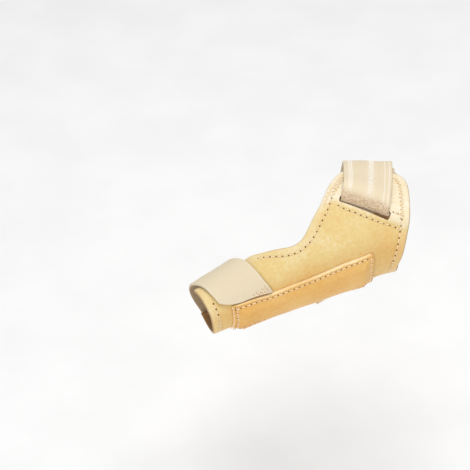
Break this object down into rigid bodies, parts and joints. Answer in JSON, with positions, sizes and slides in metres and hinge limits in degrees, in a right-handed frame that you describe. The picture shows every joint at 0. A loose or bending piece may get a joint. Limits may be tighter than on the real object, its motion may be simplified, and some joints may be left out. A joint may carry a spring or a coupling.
{
  "type": "thumb spica splint",
  "caption": "Leather thumb and wrist splint: a shell with a thumb sleeve and a stay pocket, a band round the thumb and a folded-back strap round the wrist.",
  "frame": {"origin": "middle of the wrist that the splint is worn on", "axes": "-X towards the fingers, -Y towards the thumb side, +Z out of the back of the hand; a right hand"},
  "size_m": [0.1076, 0.0889, 0.0646],
  "materials": {
    "leather": "soft buff suede-like leather with a light sheen",
    "pocket_leather": "the same leather, a little deeper in tone",
    "band_elastic": "matt woven elastic",
    "strap_elastic": "matt woven elastic with raised white rows",
    "hook_fabric": "matt hook patch"
  },
  "bodies": {
    "root": {"leather_body": "leather", "stay_pocket": "pocket_leather", "thumb_band": "band_elastic", "wrist_strap": "strap_elastic", "wrist_hook_tab": "hook_fabric", "thumb_hook_tab": "hook_fabric"}
  },
  "joints": []
}
